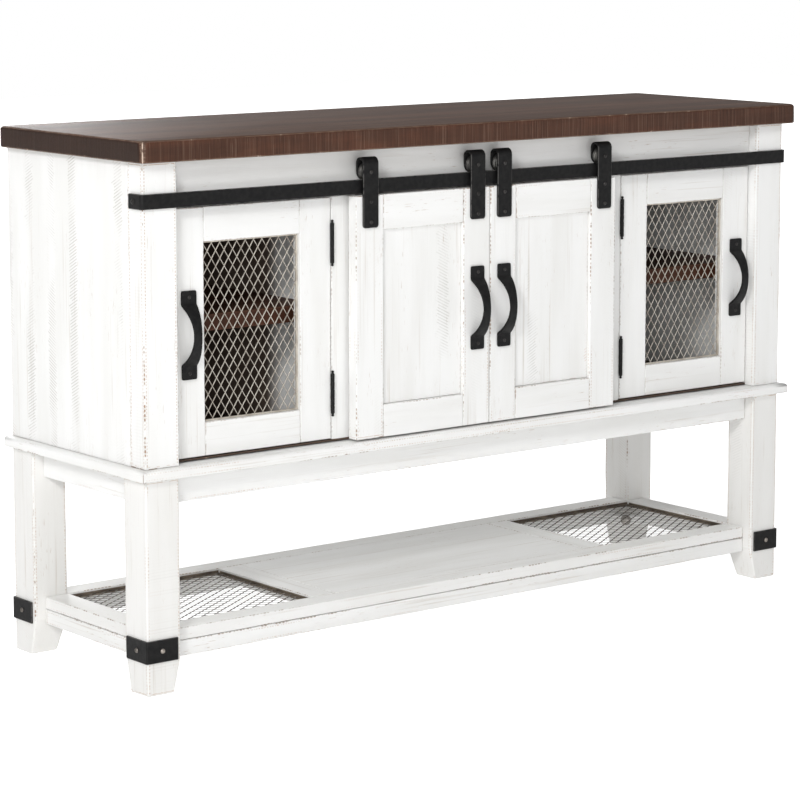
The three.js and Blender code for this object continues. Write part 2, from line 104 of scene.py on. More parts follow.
class Graph:
    """A node material written as a formula. Values are sockets or plain numbers."""

    def __init__(self, name):
        self.material = bpy.data.materials.new(name)
        self.material.use_nodes = True
        self.tree = self.material.node_tree
        self.tree.nodes.clear()

    def node(self, kind, inputs, **settings):
        made = self.tree.nodes.new(kind)
        for key, value in settings.items():
            setattr(made, key, value)
        for key, value in inputs.items():
            if isinstance(value, bpy.types.NodeSocket):
                self.tree.links.new(value, made.inputs[key])
            else:
                made.inputs[key].default_value = value
        return made

    def math(self, operation, *values):
        inputs = dict(enumerate(values))
        return self.node("ShaderNodeMath", inputs, operation=operation).outputs[0]

    def vector(self, operation, *values):
        inputs = dict(enumerate(values))
        return self.node("ShaderNodeVectorMath", inputs, operation=operation).outputs[0]

    def attribute(self, name):
        made = self.node("ShaderNodeAttribute", {}, attribute_name=name)
        return made.outputs["Vector"]

    def places(self):
        """A point's place on its piece, and the same in a pattern of the piece's own."""
        local = self.attribute("local")
        return local, self.vector("ADD", local, self.attribute("shift"))

    def split(self, vector):
        made = self.node("ShaderNodeSeparateXYZ", {0: vector})
        return made.outputs[0], made.outputs[1], made.outputs[2]

    def noise(self, vector, stretch, detail=2.0, roughness=0.5):
        scaled = self.vector("MULTIPLY", vector, stretch)
        inputs = {"Vector": scaled, "Scale": 1.0, "Detail": detail, "Roughness": roughness}
        return self.node("ShaderNodeTexNoise", inputs).outputs[0]

    def step(self, value, low, high):
        inputs = {"Value": value, "From Min": low, "From Max": high}
        made = self.node("ShaderNodeMapRange", inputs, interpolation_type="SMOOTHSTEP")
        return made.outputs[0]

    def chain(self, operation, first, *others):
        for other in others:
            first = self.math(operation, first, other)
        return first

    def plus(self, *values):
        return self.chain("ADD", *values)

    def minus(self, *values):
        return self.chain("SUBTRACT", *values)

    def times(self, *values):
        return self.chain("MULTIPLY", *values)

    def most(self, *values):
        return self.chain("MAXIMUM", *values)

    def part(self, value, period):
        """How far into its period a value is, from 0 to 1."""
        return self.math("FRACT", self.math("DIVIDE", value, period))

    def off(self, value, middle):
        """How far a value is from the middle one."""
        return self.math("ABSOLUTE", self.minus(value, middle))

    def chance(self, number):
        """A scattered number from 0 to 1 for every whole number."""
        return self.math("FRACT", self.times(self.math("SINE", self.times(number, 12.9)), 43.7))

    def mix(self, factor, first, second):
        inputs = {0: factor, 6: first, 7: second}
        made = self.node("ShaderNodeMix", inputs, data_type="RGBA")
        return made.outputs[2]

    def blend(self, factor, low, high):
        """A number that goes from low to high with factor."""
        made = self.node("ShaderNodeMapRange", {"Value": factor, "To Min": low, "To Max": high})
        return made.outputs[0]

    def surface(self, color, roughness, height, depth, **sockets):
        bump = self.node("ShaderNodeBump", {"Height": height, "Strength": 1.0, "Distance": depth})
        inputs = {"Base Color": color, "Roughness": roughness, "Normal": bump.outputs[0]}
        shader = self.node("ShaderNodeBsdfPrincipled", inputs)
        for key, value in sockets.items():
            shader.inputs[key.replace("_", " ")].default_value = value
        self.node("ShaderNodeOutputMaterial", {"Surface": shader.outputs[0]})
        return self.material


def rgb(red, green, blue):
    return (red, green, blue, 1.0)


def tinted(color, red, green, blue):
    return rgb(color[0] * red, color[1] * green, color[2] * blue)


def edge_distance(g, local):
    """How far a point of a board's face is from the nearest edge of that face."""
    room = g.vector("SUBTRACT", g.attribute("half"), g.vector("ABSOLUTE", local))
    sides = g.split(room)
    middle_one = g.minus(g.plus(*sides), g.chain("MINIMUM", *sides), g.most(*sides))
    return middle_one, sides


def painted_wood(name="white_paint", shade_stain_from=None):
    """Rubbed white paint: bare edges, saw-tooth bands, dotted lines and thin streaks.
    Past shade_stain_from, measured across the board from its middle, the paint gives way to a dark
    stain, which is also painted shade for the deep inside of the case."""
    g = Graph(name)
    local, place = g.places()
    wear, bands, tone = g.split(g.attribute("wear_bands_tone"))
    along, across, _ = g.split(place)
    edge, _ = edge_distance(g, local)

    cloud = g.noise(place, (3, 22, 22), 3)
    paint = g.mix(g.step(cloud, 0.35, 0.7), rgb(0.85, 0.85, 0.84), rgb(0.8, 0.797, 0.78))
    # The tone turns a whole piece towards a warm grey; the legs and the low shelf rails get some.
    paint = g.mix(tone, paint, rgb(0.6, 0.56, 0.5))

    streak = g.noise(place, (2.6, 150, 150), 4, 0.6)
    patches = g.step(g.noise(place, (4, 12, 12), 2), 0.42, 0.62)
    streaks = g.times(g.step(streak, 0.56, 0.72), patches)
    paint = g.mix(g.times(streaks, 0.5), paint, rgb(0.5, 0.44, 0.37))

    ticks = g.noise(place, (46, 700, 700), 2)
    tick_area = g.step(g.noise(place, (6, 24, 24), 2), 0.5, 0.64)
    scratches = g.times(g.step(ticks, 0.66, 0.74), tick_area)
    paint = g.mix(g.times(scratches, 0.62), paint, rgb(0.4, 0.28, 0.19))

    # Saw-tooth bands run along the grain, one to a strip, and lean to alternate sides.
    strip = g.math("DIVIDE", across, SAW_STRIP)
    number = g.math("FLOOR", strip)
    inside = g.minus(strip, number, 0.5)
    lean = g.minus(g.times(g.math("FLOORED_MODULO", number, 2.0), 2.0), 1.0)
    slant = g.times(inside, lean, SAW_SLANT)
    strokes = g.step(g.off(g.part(g.plus(along, slant), SAW_PITCH), 0.5), 0.24, 0.1)
    ragged = g.noise(place, (110, 40, 0.0), 2)
    reach = g.blend(ragged, 0.02, 0.36)
    band = g.step(g.minus(reach, g.math("ABSOLUTE", inside)), 0.0, 0.06)
    patch = g.step(g.noise(place, (5, 13, 0.0), 3, 0.6), 0.4, 0.62)
    chosen = g.step(g.chance(number), 0.38, 0.42)
    teeth = g.times(strokes, band, patch, bands, chosen)
    rust = g.step(g.noise(place, (9, 14, 14), 2), 0.58, 0.7)
    tooth_color = g.mix(rust, rgb(0.36, 0.34, 0.3), rgb(0.56, 0.33, 0.21))
    paint = g.mix(g.times(teeth, 0.5), paint, tooth_color)

    # A dotted line just inside the edges, and bare wood on the edges themselves.
    rim = g.step(g.off(edge, DOT_INSET), 1.3 * MM, 0.4 * MM)
    uneven = g.noise(place, (140, 90, 90), 2)
    dots = g.step(g.part(g.plus(along, g.times(uneven, 9 * MM)), DOT_PITCH), 0.42, 0.6)
    extra = g.times(g.minus(wear, 1.0), 0.4)
    stretches = g.step(g.plus(g.noise(place, (6, 3, 3), 1), extra), 0.5, 0.62)
    dotted = g.times(rim, dots, stretches, wear)
    paint = g.mix(g.times(dotted, g.blend(uneven, 0.15, 0.75)), paint, rgb(0.46, 0.29, 0.18))
    broken = g.noise(place, (70, 70, 70), 3, 0.6)
    long_worn = g.step(g.noise(place, (5, 9, 9), 2), 0.36, 0.66)
    width = g.blend(g.times(broken, long_worn), 0.3 * MM, 4.5 * MM)
    bare = g.times(g.step(edge, width, g.times(width, 0.4)), g.step(broken, 0.4, 0.56), wear)
    notch = g.part(g.plus(along, g.times(broken, 4 * MM)), CHIP_PITCH)
    bare = g.times(bare, g.blend(g.step(notch, 0.35, 0.5), 0.3, 1.0))
    bare_color = g.mix(g.noise(place, (30, 90, 90), 2), rgb(0.42, 0.27, 0.18), rgb(0.15, 0.1, 0.07))
    paint = g.mix(g.times(bare, 0.85), paint, bare_color)

    # Painted shade: deeper in, the paint darkens to brown. This stands in for the shade inside the case
    # as well as the stain there.
    if shade_stain_from is not None:
        _, depth, _ = g.split(local)
        ragged_depth = g.plus(depth, g.times(cloud, 20 * MM))
        stain_and_shade = g.step(ragged_depth, shade_stain_from, shade_stain_from + STAIN_SHADE_FADE)
        paint = g.mix(stain_and_shade, paint, rgb(0.13, 0.098, 0.077))

    grain = g.noise(place, (16, 420, 420), 3, 0.6)
    saw = g.noise(place, (430, 14, 14), 1)
    height = g.plus(g.times(grain, 0.6), g.times(saw, 0.1))
    height = g.minus(height, g.times(teeth, 0.5), g.times(bare, 0.6), g.times(scratches, 0.35))
    roughness = g.blend(g.most(bare, g.times(grain, 0.5)), 0.46, 0.72)
    return g.surface(paint, roughness, height, 0.45 * MM, Specular_IOR_Level=0.35)


def stained_wood(name, dark, warm, worn, gloss):
    """Stained boards with streaky grain, saw marks on the faces and rubbed edges."""
    g = Graph(name)
    local, place = g.places()
    wear, boards, _ = g.split(g.attribute("wear_bands_tone"))
    _, across, _ = g.split(place)
    edge, (from_end, from_side, _) = edge_distance(g, local)

    figure = g.noise(place, (1.1, 18, 18), 4, 0.55)
    wood = g.mix(g.step(figure, 0.3, 0.72), dark, warm)
    plank_tone = g.chance(g.math("FLOOR", g.math("DIVIDE", across, PLANK)))
    wood = g.mix(g.times(plank_tone, boards, 0.3), wood, dark)
    end_face = g.step(from_end, 2 * MM, 0.5 * MM)
    narrow = g.most(g.step(from_side, 2 * MM, 0.5 * MM), end_face)
    wide = g.minus(1.0, narrow)
    fine = g.noise(place, (3.2, 230, 230), 5, 0.65)
    wood = g.mix(g.times(g.step(fine, 0.5, 0.68), wide, 0.5), wood, worn)
    pores = g.noise(place, (14, 620, 620), 2)
    black = tinted(dark, 0.3, 0.3, 0.3)
    wood = g.mix(g.times(g.step(pores, 0.56, 0.7), wide, 0.6), wood, black)

    # The narrow faces show the saw: short upright marks and redder patches.
    upright = g.noise(place, (560, 560, 7), 2, 0.6)
    red = g.step(g.noise(place, (7, 7, 30), 3), 0.42, 0.68)
    wood = g.mix(g.times(narrow, red, 0.5), wood, tinted(warm, 1.5, 1.15, 1.0))
    wood = g.mix(g.times(narrow, 0.62), wood, tinted(warm, 0.42, 0.3, 0.26))
    wood = g.mix(g.times(narrow, g.step(upright, 0.5, 0.66), 0.45), wood, black)
    wood = g.mix(g.times(narrow, g.step(upright, 0.46, 0.34), 0.18), wood, worn)
    wood = g.mix(g.times(end_face, 0.82), wood, black)

    # Edges are rubbed, with chips here and there and worn corners.
    broken = g.noise(place, (60, 60, 60), 3, 0.6)
    width = g.blend(broken, 0.4 * MM, 5.5 * MM)
    lighter_edge = g.times(g.step(edge, width, g.times(width, 0.3)), wear)
    wood = g.mix(g.times(lighter_edge, 0.5), wood, worn)
    chips = g.times(g.step(edge, 3 * MM, 1.2 * MM), g.step(broken, 0.66, 0.7), wear)
    ragged = g.blend(broken, 0.4 * MM, 3.4 * MM)
    corner = g.step(g.off(from_end, from_side), ragged, g.times(ragged, 0.5))
    corner = g.times(corner, g.step(from_end, 6.5 * MM, 5 * MM))
    corner = g.times(corner, boards, g.step(broken, 0.36, 0.46))
    wood = g.mix(g.most(chips, corner), wood, rgb(0.52, 0.4, 0.32))

    height = g.plus(g.times(fine, 0.55), g.times(pores, 0.4), g.times(upright, narrow, 0.8))
    roughness = g.blend(fine, gloss, gloss + 0.16)
    return g.surface(wood, roughness, height, 0.4 * MM, Specular_IOR_Level=0.2)


def iron(name, gloss):
    """Black powder coat on forged iron: fine texture, faint hammer marks, and greyer edges that are
    partly rubbed wear and partly a painted highlight along the bends.
    """
    g = Graph(name)
    local, place = g.places()
    edge, _ = edge_distance(g, local)
    speck = g.noise(place, (900, 900, 900), 2)
    hammer = g.noise(place, (110, 110, 110), 1)
    color = g.mix(g.step(hammer, 0.3, 0.7), rgb(0.005, 0.005, 0.0054), rgb(0.01, 0.0097, 0.0097))
    # Painted highlight as well as wear: the lighter edges stand in for the light caught along the
    # bends.
    lighter_edge = g.times(g.step(edge, 1.3 * MM, 0.5 * MM), g.step(hammer, 0.3, 0.5))
    color = g.mix(g.times(lighter_edge, 0.7), color, rgb(0.12, 0.115, 0.11))
    height = g.plus(g.times(speck, 0.35), g.times(hammer, 0.9))
    roughness = g.blend(speck, gloss, gloss + 0.18)
    return g.surface(color, roughness, height, 0.3 * MM, Specular_IOR_Level=0.19)


def antique_metal(name, light, dark, metallic):
    """Metal with a rubbed antique finish, darker in patches."""
    g = Graph(name)
    _, place = g.places()
    patch = g.noise(place, (35, 35, 35), 3)
    speck = g.noise(place, (700, 700, 700), 2)
    color = g.mix(g.step(patch, 0.38, 0.68), light, dark)
    color = g.mix(g.times(g.step(speck, 0.55, 0.7), 0.35), color, dark)
    roughness = g.blend(patch, 0.34, 0.56)
    return g.surface(color, roughness, speck, 0.2 * MM, Metallic=metallic)


def floor_paint():
    """A white floor that glows away from the middle, so that it runs into the white background."""
    g = Graph("studio_floor")
    place = g.node("ShaderNodeTexCoord", {}).outputs["Object"]
    far = g.node("ShaderNodeVectorMath", {0: place}, operation="LENGTH").outputs["Value"]
    glow = g.blend(g.step(far, 0.9, 3.5), 0.28, 0.7)
    seen = g.node("ShaderNodeLightPath", {}).outputs["Is Camera Ray"]
    glow = g.plus(glow, g.times(seen, 0.45))
    made = g.surface(rgb(0.9, 0.9, 0.9), 0.9, far, 0.0, Emission_Color=rgb(1, 1, 1))
    shader = next(node for node in g.tree.nodes if node.type == "BSDF_PRINCIPLED")
    g.tree.links.new(glow, shader.inputs["Emission Strength"])
    return made


PAINT = painted_wood()
# Painted shade: the paint on the partitions darkens to brown deeper into the case.
SHADED_PARTITION_PAINT = painted_wood("partition_paint", -0.045)
TOP_WOOD = stained_wood(
    "walnut_stain",
    rgb(0.066, 0.034, 0.022), rgb(0.125, 0.062, 0.039), rgb(0.27, 0.19, 0.14), 0.42,
)
SHELF_WOOD = stained_wood(
    "shelf_wood",
    rgb(0.05, 0.022, 0.013), rgb(0.105, 0.046, 0.027), rgb(0.17, 0.09, 0.06), 0.5,
)
INSIDE = stained_wood(
    "dark_interior",
    rgb(0.08, 0.058, 0.045), rgb(0.13, 0.096, 0.075), rgb(0.17, 0.125, 0.098), 0.6,
)
IRON = iron("black_iron", 0.42)
SCREW_IRON = antique_metal("black_screws", rgb(0.055, 0.052, 0.05), rgb(0.028, 0.027, 0.026), 0.7)
ROLLER_STEEL = antique_metal("roller_steel", rgb(0.11, 0.107, 0.1), rgb(0.05, 0.048, 0.046), 0.9)
MESH_METAL = antique_metal("pale_mesh", rgb(0.6, 0.56, 0.49), rgb(0.4, 0.355, 0.3), 0.2)
GRILLE_METAL = antique_metal("pewter_grille", rgb(0.24, 0.2, 0.155), rgb(0.13, 0.105, 0.08), 0.5)
GRILLE_STRANDS = antique_metal("pewter_strands", rgb(0.11, 0.09, 0.072), rgb(0.05, 0.04, 0.032), 0.4)
BRACKET_SCREWS = antique_metal("bracket_screws", rgb(0.42, 0.38, 0.34), rgb(0.12, 0.11, 0.1), 0.95)
BOLT_STEEL = antique_metal("bolt_steel", rgb(0.55, 0.53, 0.5), rgb(0.3, 0.28, 0.26), 0.9)


# ---- mesh code

def skin(bm, rings):
    """Quads between rings of equally many points, with both ends capped."""
    rows = [[bm.verts.new(p) for p in ring] for ring in rings]
    for low, high in zip(rows, rows[1:]):
        for i in range(len(low)):
            j = (i + 1) % len(low)
            bm.faces.new((low[i], low[j], high[j], high[i]))
    bm.faces.new(rows[0])
    bm.faces.new(reversed(rows[-1]))


def loft(rings):
    bm = bmesh.new()
    skin(bm, rings)
    return bm


def arris(radius, count):
    """A rounded edge in count steps, as (distance from the end, inset), from the end inwards."""
    turns = [math.pi / 2 * i / count for i in range(count + 1)]
    return [(radius * (1 - math.cos(t)), radius * (1 - math.sin(t))) for t in turns]


def rounded(width, height, radius, segments=3, step=None):
    """The points of a rounded rectangle, counter-clockwise, with its sides split every step."""
    points = []
    x, y = width / 2 - radius, height / 2 - radius
    corners = [(x, -y, -90), (x, y, 0), (-x, y, 90), (-x, -y, 180)]
    for number, (cx, cy, start) in enumerate(corners):
        for i in range(segments + 1):
            angle = math.radians(start + 90 * i / segments)
            points.append((cx + radius * math.cos(angle), cy + radius * math.sin(angle)))
        if step:
            nx, ny, _ = corners[(number + 1) % 4]
            angle = math.radians(start + 90)
            ax, ay = points[-1]
            bx, by = nx + radius * math.cos(angle), ny + radius * math.sin(angle)
            parts = max(1, round(math.hypot(bx - ax, by - ay) / step))
            for i in range(1, parts):
                points.append((ax + (bx - ax) * i / parts, ay + (by - ay) * i / parts))
    return points


def extrude(outline, depth, bevel):
    """A prism on an outline in the XY plane, from z = 0 to depth, with all sharp edges rounded."""
    bm = bmesh.new()
    face = bm.faces.new([bm.verts.new((x, y, 0)) for x, y in outline])
    grown = bmesh.ops.extrude_face_region(bm, geom=[face])["geom"]
    moved = [v for v in grown if isinstance(v, bmesh.types.BMVert)]
    bmesh.ops.translate(bm, vec=(0, 0, depth), verts=moved)
    bmesh.ops.recalc_face_normals(bm, faces=bm.faces)
    sharp = [e for e in bm.edges if e.calc_face_angle(0) > math.radians(25)]
    bmesh.ops.bevel(bm, geom=sharp, offset=bevel, segments=2, affect="EDGES")
    return bm


def lathe(profile, segments=32):
    """A turned piece about the Z axis. The profile is (radius, z), from axis to axis."""
    bm = bmesh.new()
    rows = []
    for radius, z in profile:
        if radius < 1e-6:
            rows.append([bm.verts.new((0, 0, z))])
            continue
        turns = [2 * math.pi * i / segments for i in range(segments)]
        rows.append([bm.verts.new((radius * math.cos(t), radius * math.sin(t), z)) for t in turns])
    for low, high in zip(rows, rows[1:]):
        for i in range(segments):
            j = (i + 1) % segments
            ring = [low[i % len(low)], low[j % len(low)], high[j % len(high)], high[i % len(high)]]
            corners = list(dict.fromkeys(ring))
            if len(corners) > 2:
                bm.faces.new(corners)
    return bm


def rod(radius, length, segments):
    return lathe([(0, 0), (radius, 0), (radius, length), (0, length)], segments)


def ribbon(path, widths, thickness, side, corner):
    """A flat bar that follows a path, with its width along side and its corners rounded."""
    rings = []
    side = Vector(side)
    for i, point in enumerate(path):
        before = Vector(path[max(i - 1, 0)])
        after = Vector(path[min(i + 1, len(path) - 1)])
        ahead = (after - before).normalized()
        if 0 < i < len(path) - 1:
            first = (Vector(point) - before).normalized()
            ahead = (first + (after - Vector(point)).normalized()).normalized()
            stretch = 1 / max(0.5, ahead.dot(first))
        else:
            stretch = 1.0
        out = ahead.cross(side).normalized() * stretch
        ring = rounded(widths[i], thickness, min(corner, widths[i] * 0.45), 2)
        rings.append([Vector(point) + side * u + out * v for u, v in ring])
    return loft(rings)


def merge(*parts):
    """One bmesh out of several, each given as (bmesh, matrix) or as a bmesh in place."""
    whole = bmesh.new()
    for part in parts:
        bm, matrix = part if isinstance(part, tuple) else (part, Matrix.Identity(4))
        bm.transform(matrix)
        mesh = bpy.data.meshes.new("part")
        bm.to_mesh(mesh)
        bm.free()
        whole.from_mesh(mesh)
        bpy.data.meshes.remove(mesh)
    return whole


def at(x, y, z):
    return Matrix.Translation((x, y, z))


def turn(degrees, axis):
    return Matrix.Rotation(math.radians(degrees), 4, axis.upper())


# ---- pieces

SMOOTH_BELOW = 3 * MM  # a face narrower than this belongs to a rounded edge
RING_PITCH = 45 * MM  # from one ring of points to the next along a board


def stamp(mesh, grain, seed, wear_bands_tone, smooth):
    """Gives a mesh its coordinates along the grain, half its size, an offset, and its wear, saw bands
    and tone.
    """
    points = [v.co for v in mesh.vertices]
    low = Vector([min(p[i] for p in points) for i in range(3)])
    high = Vector([max(p[i] for p in points) for i in range(3)])
    a, b, c = AXES[grain]
    size = high - low
    if size[c] > size[b]:
        b, c = c, b
    middle = (low + high) / 2
    rng = random.Random(seed)
    shift = [rng.uniform(-9, 9) for _ in range(3)]
    data = {
        "local": [(p - middle)[i] for p in points for i in (a, b, c)],
        "half": [size[i] / 2 for i in (a, b, c)] * len(points),
        "shift": shift * len(points),
        "wear_bands_tone": wear_bands_tone * len(points),
    }
    for name, values in data.items():
        mesh.attributes.new(name, "FLOAT_VECTOR", "POINT").data.foreach_set("vector", values)
    for face in mesh.polygons:
        shortest = min((points[i] - points[j]).length for i, j in face.edge_keys)
        face.use_smooth = smooth or shortest < SMOOTH_BELOW


def link(name, data):
    made = bpy.data.objects.new(name, data)
    bpy.context.scene.collection.objects.link(made)
    return made


def piece(name, bm, material, node, grain="z", wear=1.0, bands=0.0, tone=0.0, smooth=False):
    """Makes one visible piece, which stands for a CAD node and rides on that node's body."""
    bmesh.ops.recalc_face_normals(bm, faces=bm.faces)
    mesh = bpy.data.meshes.new(name)
    bm.to_mesh(mesh)
    bm.free()
    stamp(mesh, grain, name, [wear, bands, tone], smooth)
    mesh.materials.append(material)
    made = link(name, mesh)
    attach(made, BODY_OF[node])
    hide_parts(node)
    return made


def board(low, high, grain, radius=1.6 * MM, seed=0, wobble=0.7 * MM):
    """A board between two corners, with softened edges that wander a little, as worn ones do."""
    a, b, c = AXES[grain]
    size = [high[i] - low[i] for i in range(3)]
    middle = [(high[i] + low[i]) / 2 for i in range(3)]
    length = size[a]
    straight = length - 2 * radius
    count = max(1, round(straight / RING_PITCH))
    rows = arris(radius, 2) + [(radius + straight * i / count, 0) for i in range(1, count)]
    rows += [(length - s, inset) for s, inset in reversed(arris(radius, 2))]
    rings = []
    for s, inset in rows:
        corner = max(radius - inset, 0.05 * MM)
        ring = rounded(size[b] - 2 * inset, size[c] - 2 * inset, corner)
        points = []
        for i, (u, v) in enumerate(ring):
            sway = noise.noise(Vector((s * 17, seed * 3.7 + i // 4 * 9.1, 0.5)))
            pull = 1 - wobble * max(0.0, sway) / max(abs(u), abs(v), radius)
            p = [0, 0, 0]
            p[a] = middle[a] - length / 2 + s
            p[b] = middle[b] + u * pull
            p[c] = middle[c] + v * pull
            points.append(p)
        rings.append(points)
    return loft(rings)


def timber(node, grain, material=PAINT, **look):
    """One plain board for one CAD node."""
    low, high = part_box(node)
    seed = len(node) + sum(map(ord, node)) % 97
    return piece(node + "_board", board(low, high, grain, seed=seed), material, node, grain, **look)


def screw_head(radius, height):
    """A domed head with a round socket, on z = 0 and facing +Z."""
    turns = [i * math.pi / 14 for i in range(6)]
    dome = [(radius * math.cos(t), height * math.sin(t)) for t in turns]
    rim = radius * 0.36
    socket = [(rim, height * 0.97), (rim * 0.8, height * 0.55), (0, height * 0.5)]
    sunk = -0.2 * MM
    return lathe([(0, sunk), (radius, sunk)] + dome + socket, 24)


def hex_head(radius, height):
    turns = [math.pi / 3 * i for i in range(6)]
    return extrude([(radius * math.cos(t), radius * math.sin(t)) for t in turns], height, 0.8 * MM)


def border(low, high, across, width, inset):
    """Four strips inside a box, each as (low, high, grain): two along X, and two along the
    axis called across, which start and stop at inset from the ends."""
    k = "xyz".index(across)
    for run, ends, grain in ((k, 0.0, "x"), (0, inset, across)):
        for far in (False, True):
            a, b = list(low), list(high)
            a[k] += ends
            b[k] -= ends
            if far:
                a[run] = b[run] - width
            else:
                b[run] = a[run] + width
            yield a, b, grain


TO_FRONT = turn(90, "x")  # takes +Z to -Y
FACING = {
    (0, -1): TO_FRONT,
    (0, 1): turn(-90, "x"),
    (1, 0): turn(90, "y"),
    (-1, 0): turn(-90, "y"),
}


# ---- top

def top_slab():
    """A thick slab of planks with round corners and dented edges."""
    low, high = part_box("top")
    width, depth = high.x - low.x, high.y - low.y
    height = high.z - low.z
    corner, upper, lower = 14 * MM, 5.5 * MM, 2.5 * MM
    rows = arris(lower, 3) + [(height / 2, 0.0)]
    rows += [(height - s, inset) for s, inset in reversed(arris(upper, 5))]
    middle = (low + high) / 2
    rings = []
    for z, inset in rows:
        ring = rounded(width, depth, corner, 8, 35 * MM)
        points = []
        for x, y in ring:
            dip = max(0.0, noise.noise(Vector((x * 11, y * 11, z * 30))))
            pull = inset + (0.9 * MM * dip if z > height * 0.6 else 0.3 * MM * dip)
            points.append((
                middle.x + x * (1 - 2 * pull / width),
                middle.y + y * (1 - 2 * pull / depth),
                low.z + z,
            ))
        rings.append(points)
    piece("top_slab", loft(rings), TOP_WOOD, "top", "x", bands=1.0)


# ---- case

def case():
    for side in ("left", "right"):
        timber(f"post_{side}", "z", wear=1.3, bands=0.12)
        timber(f"side_panel_{side}", "z", wear=0.3, bands=1.0)
        timber(f"face_stile_{side}", "z", wear=0.5)
        timber(f"partition_{side}", "z", SHADED_PARTITION_PAINT, wear=0.0)
    timber("header", "x", wear=0.5)
    case_back()
    case_floor()
    for side in ("left", "centre", "right"):
        node = f"shelf_{side}"
        low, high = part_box(node)
        piece(node + "_board", board(low, high, "x", 2 * MM), SHELF_WOOD, node, "x", wear=0.6)


def case_back():
    """A thin stained sheet, held by three rows of screws."""
    low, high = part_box("back_panel")
    piece("back_panel_sheet", board(low, high, "x", 0.8 * MM, wobble=0), INSIDE, "back_panel", "x", 0.2)
    margin, count = 14 * MM, 9
    step = (high.x - low.x - 2 * margin) / (count - 1)
    heads = [
        (screw_head(3.2 * MM, 0.9 * MM), at(low.x + margin + i * step, high.y, z) @ FACING[0, 1])
        for z in (low.z + 12 * MM, (low.z + high.z) / 2, high.z - 12 * MM)
        for i in range(count)
    ]
    piece("back_panel_screws", merge(*heads), IRON, "back_panel", smooth=True)


def case_floor():
    """A stained floor with a thin front strip under the doors, on a painted tray."""
    low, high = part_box("case_floor")
    strip = low.y + 21 * MM
    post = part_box("post_left")[1].x
    lip_low = high.z - 2.6 * MM
    body = board((post + SEAM, low.y, lip_low), (-post - SEAM, strip, high.z), "x", 0.8 * MM)
    piece("case_floor_lip", body, INSIDE, "case_floor", "x", wear=0.7)
    back = board((low.x, strip + 4 * MM, high.z - 4 * MM), high, "x", 0.6 * MM)
    piece("case_floor_board", back, INSIDE, "case_floor", "x", wear=0.0)
    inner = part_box("ledge_left")[1].x + SEAM
    tray_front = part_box("ledge_front")[1].y + SEAM
    tray_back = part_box("apron_back")[0].y - SEAM
    tray = board((inner, tray_front, low.z), (-inner, tray_back, high.z - 4.2 * MM), "x")
    piece("case_floor_tray", tray, PAINT, "case_floor", "x", wear=0.3)


def ledge_bar(node, outward, mitres):
    """A ledge bar with a rounded upper edge. outward is 'y-', 'x-' or 'x+', and mitres says
    which of its two ends, lowest first, is cut at 45 degrees."""
    low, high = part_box(node)
    k = "xy".index(outward[0])
    sign = -1 if outward[1] == "-" else 1
    run = 1 - k
    height = high.z - low.z
    width = high[k] - low[k]
    upper, lower = 6 * MM, 1.8 * MM
    section = [(-width, 0.0), (-lower, 0.0)]
    section += [(-lower + lower * math.sin(t), lower - lower * math.cos(t)) for t in (0.8, 1.57)]
    section += [(-upper + upper * math.cos(t), height - upper + upper * math.sin(t))
                for t in (i * math.pi / 12 for i in range(7))]
    section += [(-width, height)]
    edge = high[k] if sign > 0 else low[k]
    length = high[run] - low[run]
    count = max(2, round(length / (40 * MM)))
    rings = []
    for i in range(count + 1):
        s = i / count
        ring = []
        for out, z in section:
            start = low[run] - out * mitres[0]
            end = high[run] + out * mitres[1]
            dent = 0.5 * MM * max(0.0, noise.noise(Vector((s * length * 15, k * 5 + sign, z * 40))))
            p = [0, 0, low.z + z - (dent if z > height / 2 else 0)]
            p[k] = edge + sign * (out - (dent if out > -width / 2 else 0))
            p[run] = start + (end - start) * s
            ring.append(p)
        rings.append(ring)
    piece(node + "_bar", loft(rings), PAINT, node, "xy"[run])


# ---- stand

def leg(node):
    """A square leg with worn arrises whose inner faces slope in at the foot."""
    low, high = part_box(node)
    width = high.x - low.x
    middle = (low + high) / 2
    inward = (-math.copysign(1, middle.x), -math.copysign(1, middle.y))
    taper, foot, radius = 15 * MM, 65 * MM, 3 * MM
    height = high.z - low.z
    rows = [(0, 1.5 * MM), (0.5 * MM, 0.6 * MM), (1.5 * MM, 0)]
    rows += [(foot * i / 4, 0) for i in range(1, 5)]
    rows += [(foot + (height - foot) * i / 10, 0) for i in range(1, 11)]
    seed = sum(map(ord, node)) % 31
    rings = []
    for z, inset in rows:
        slope = max(0.0, 1 - z / foot) * taper
        side = width - slope
        ring = rounded(side - 2 * inset, side - 2 * inset, radius)
        x0 = middle.x - inward[0] * slope / 2
        y0 = middle.y - inward[1] * slope / 2
        points = []
        for i, (u, v) in enumerate(ring):
            sway = max(0.0, noise.noise(Vector((z * 23, seed + i // 4 * 7.3, 2.5))))
            pull = 1 - 1.3 * MM * sway / (width / 2)
            points.append((x0 + u * pull, y0 + v * pull, low.z + z))
        rings.append(points)
    piece(node + "_post", loft(rings), PAINT, node, wear=1.25, bands=0.25, tone=0.16)


